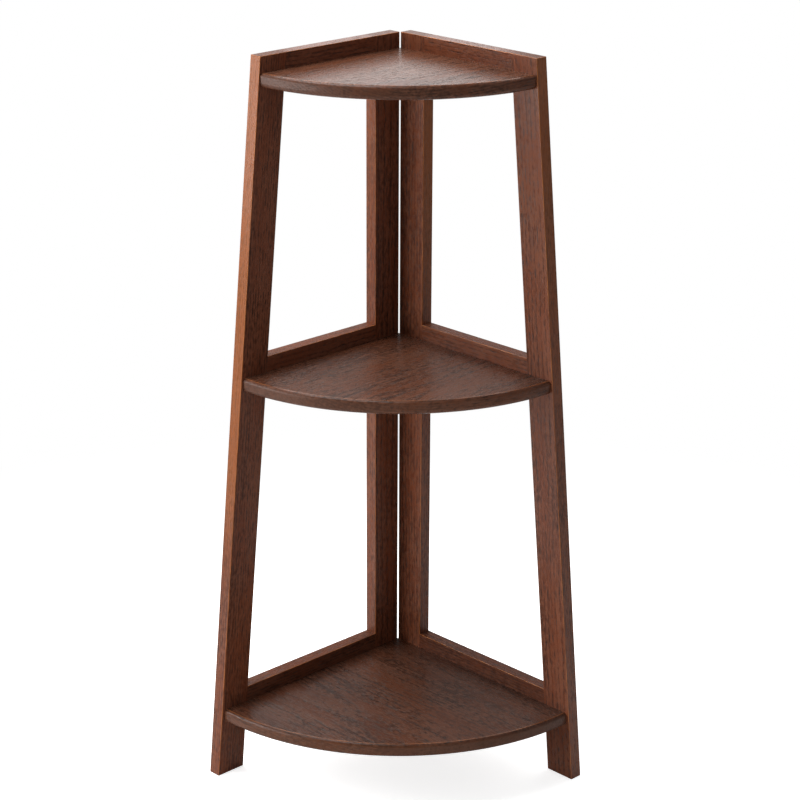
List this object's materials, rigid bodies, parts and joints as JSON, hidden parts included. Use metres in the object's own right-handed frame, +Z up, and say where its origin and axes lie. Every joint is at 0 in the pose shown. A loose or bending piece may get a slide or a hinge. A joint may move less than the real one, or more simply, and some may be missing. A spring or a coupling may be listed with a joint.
{
  "type": "corner shelf",
  "caption": "Free-standing corner shelf of dark stained wood: leaning ladder frames at right angles carry quarter-round shelves that widen towards the floor.",
  "frame": {"origin": "on the floor, under the middle of the overall box", "axes": "+Z up; the walls' corner lies towards -X and +Y, the right frame runs along +X with its wall side facing +Y, the left frame along -Y with its wall side facing -X; the open front faces +X and -Y"},
  "size_m": [0.2935, 0.2935, 0.8],
  "materials": {
    "frame_wood": "satin stain",
    "shelf_wood": "satin stain",
    "tenon_wood": "plain",
    "bolt_steel": "zinc plated",
    "nut_steel": "zinc plated"
  },
  "bodies": {
    "root": {"right_back_post": "frame_wood", "right_front_leg": "frame_wood", "right_top_rail": "frame_wood", "right_middle_rail": "frame_wood", "right_bottom_rail": "frame_wood", "left_back_post": "frame_wood", "left_front_leg": "frame_wood", "left_top_rail": "frame_wood", "left_middle_rail": "frame_wood", "left_bottom_rail": "frame_wood", "top_shelf": "shelf_wood", "middle_shelf": "shelf_wood", "bottom_shelf": "shelf_wood", "right_top_loose_tenons": "tenon_wood", "right_top_bolts": "bolt_steel", "right_top_insert_nuts": "nut_steel", "right_middle_loose_tenons": "tenon_wood", "right_middle_bolts": "bolt_steel", "right_middle_insert_nuts": "nut_steel", "right_bottom_loose_tenons": "tenon_wood", "right_bottom_bolts": "bolt_steel", "right_bottom_insert_nuts": "nut_steel", "left_top_loose_tenons": "tenon_wood", "left_top_bolts": "bolt_steel", "left_top_insert_nuts": "nut_steel", "left_middle_loose_tenons": "tenon_wood", "left_middle_bolts": "bolt_steel", "left_middle_insert_nuts": "nut_steel", "left_bottom_loose_tenons": "tenon_wood", "left_bottom_bolts": "bolt_steel", "left_bottom_insert_nuts": "nut_steel"}
  },
  "joints": []
}
